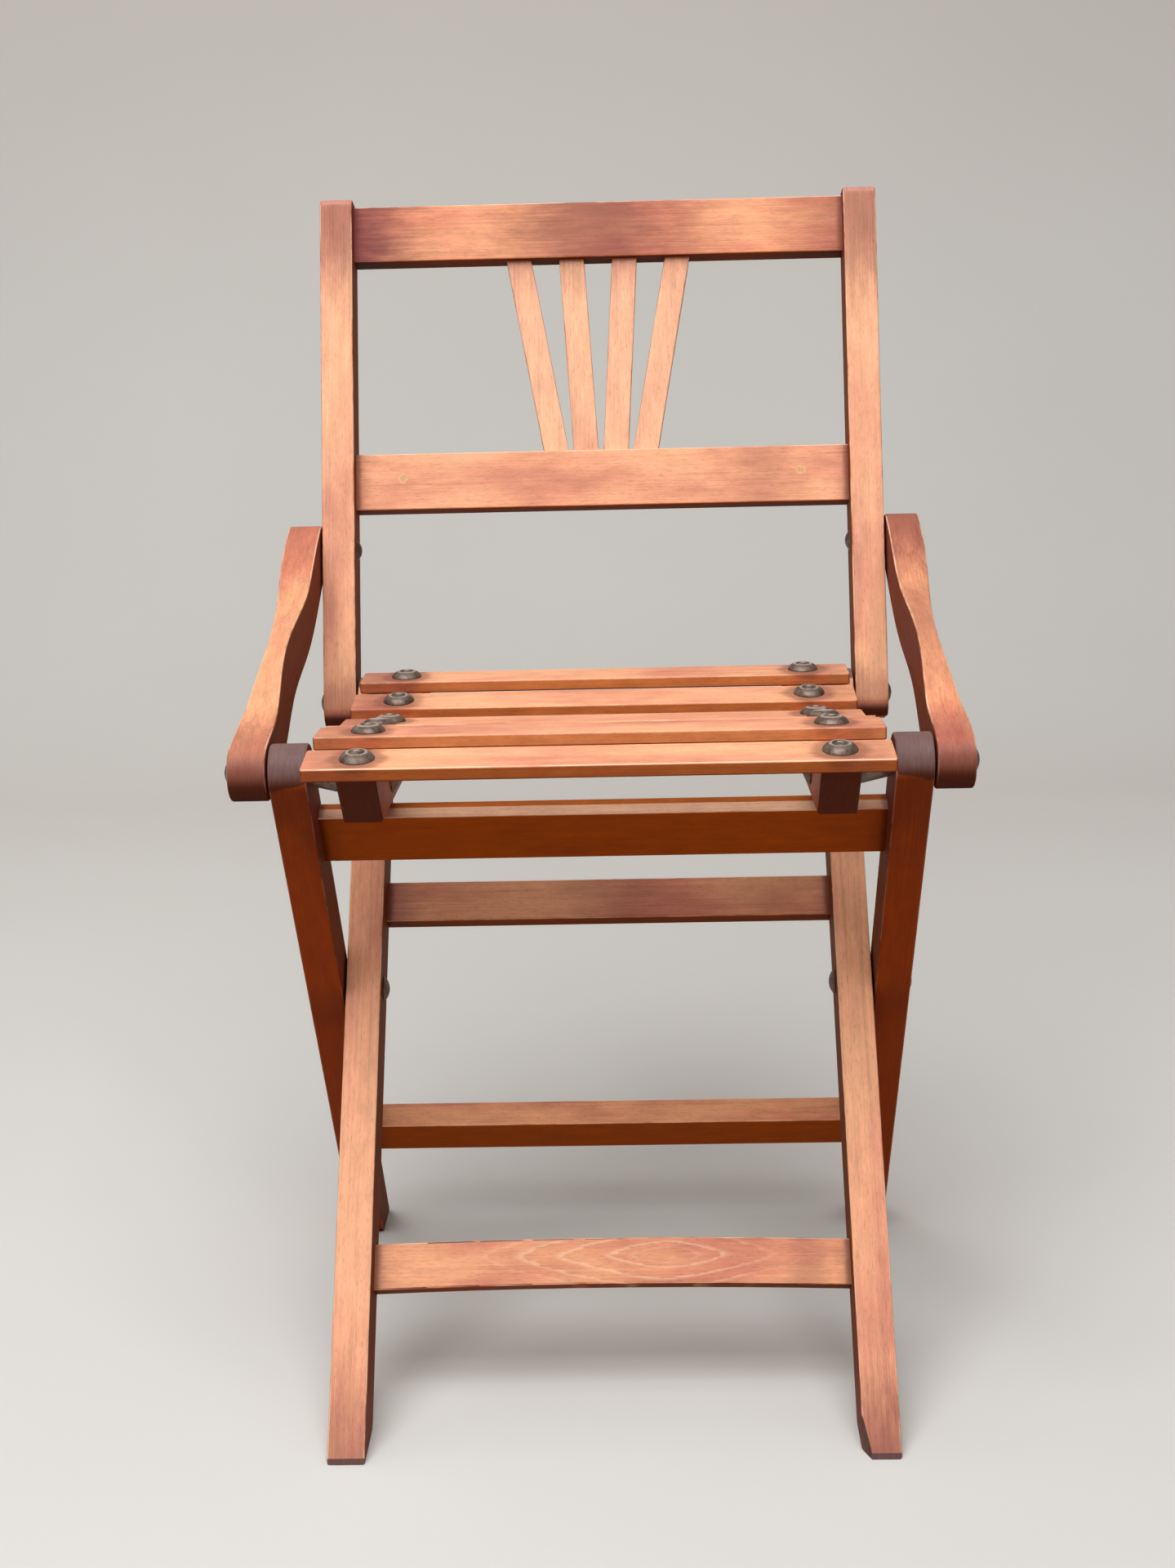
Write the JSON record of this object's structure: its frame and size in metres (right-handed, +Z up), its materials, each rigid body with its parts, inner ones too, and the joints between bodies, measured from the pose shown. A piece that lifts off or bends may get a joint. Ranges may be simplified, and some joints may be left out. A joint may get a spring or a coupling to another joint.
{
  "type": "child folding chair",
  "caption": "Child's wooden folding armchair: crossed legs, waved slatted seat on curved bearers, waisted arms and a slatted back that fold together on steel rivets.",
  "frame": {"origin": "on the floor, under the middle of the open chair's bounding box", "axes": "+Z up, +X to the right seen from the front, +Y to the rear; the chair faces -Y"},
  "size_m": [0.354, 0.3519, 0.586],
  "materials": {
    "stained_beech": "red-brown stain under a thin satin oil, dark end grain, worn pale edges",
    "dark_steel": "oxidised dark brown-grey steel, dull, worn bright at the middle of the domes",
    "wood_filler": "dull stained filler, flush"
  },
  "bodies": {
    "outer_frame": {"outer_leg_left": "stained_beech", "outer_leg_right": "stained_beech", "front_rail": "stained_beech", "rear_foot_rail": "stained_beech", "cross_rivet_left": "dark_steel", "cross_rivet_right": "dark_steel", "front_pivot_rivet_left": "dark_steel", "front_pivot_rivet_right": "dark_steel", "pivot_spacer_left": "dark_steel", "pivot_spacer_right": "dark_steel"},
    "inner_frame": {"inner_leg_left": "stained_beech", "inner_leg_right": "stained_beech", "upper_stretcher": "stained_beech", "lower_stretcher": "stained_beech", "rear_cross_rod": "dark_steel"},
    "seat": {"seat_bearer_left": "stained_beech", "seat_bearer_right": "stained_beech", "seat_slat_1": "stained_beech", "seat_slat_2": "stained_beech", "seat_slat_3": "stained_beech", "seat_slat_4": "stained_beech", "seat_slat_5": "stained_beech", "seat_slat_6": "stained_beech", "seat_rivet_1_left": "dark_steel", "seat_rivet_1_right": "dark_steel", "seat_rivet_2_left": "dark_steel", "seat_rivet_2_right": "dark_steel", "seat_rivet_3_left": "dark_steel", "seat_rivet_3_right": "dark_steel", "seat_rivet_4_left": "dark_steel", "seat_rivet_4_right": "dark_steel", "seat_rivet_5_left": "dark_steel", "seat_rivet_5_right": "dark_steel", "seat_rivet_6_left": "dark_steel", "seat_rivet_6_right": "dark_steel"},
    "arms": {"armrest_left": "stained_beech", "armrest_right": "stained_beech"},
    "back": {"back_stile_left": "stained_beech", "back_stile_right": "stained_beech", "top_back_rail": "stained_beech", "lower_back_rail": "stained_beech", "back_splat_1": "stained_beech", "back_splat_2": "stained_beech", "back_splat_3": "stained_beech", "back_splat_4": "stained_beech", "arm_rivet_left": "dark_steel", "arm_rivet_right": "dark_steel", "rail_plug_left": "wood_filler", "rail_plug_right": "wood_filler"}
  },
  "joints": [
    {"name": "legs_fold", "type": "hinge", "parent": "outer_frame", "child": "inner_frame", "pos_m": [0, -0.02104, 0.183], "axis": [1, 0, 0], "range_deg": [0, 53]},
    {"name": "seat_swing", "type": "hinge", "parent": "outer_frame", "child": "seat", "pos_m": [0, -0.10167, 0.31934], "axis": [1, 0, 0], "range_deg": [0, 90]},
    {"name": "arm_swing", "type": "hinge", "parent": "outer_frame", "child": "arms", "pos_m": [0, -0.10167, 0.31934], "axis": [1, 0, 0], "range_deg": [0, 90]},
    {"name": "back_swing", "type": "hinge", "parent": "arms", "child": "back", "pos_m": [0, 0.10601, 0.39601], "axis": [1, 0, 0], "range_deg": [-52, 0]}
  ],
  "couplings": [
    {"joint": "seat_swing", "follows": "legs_fold", "ratio": 1.698},
    {"joint": "arm_swing", "follows": "legs_fold", "ratio": 1.698},
    {"joint": "back_swing", "follows": "legs_fold", "ratio": -0.981}
  ]
}
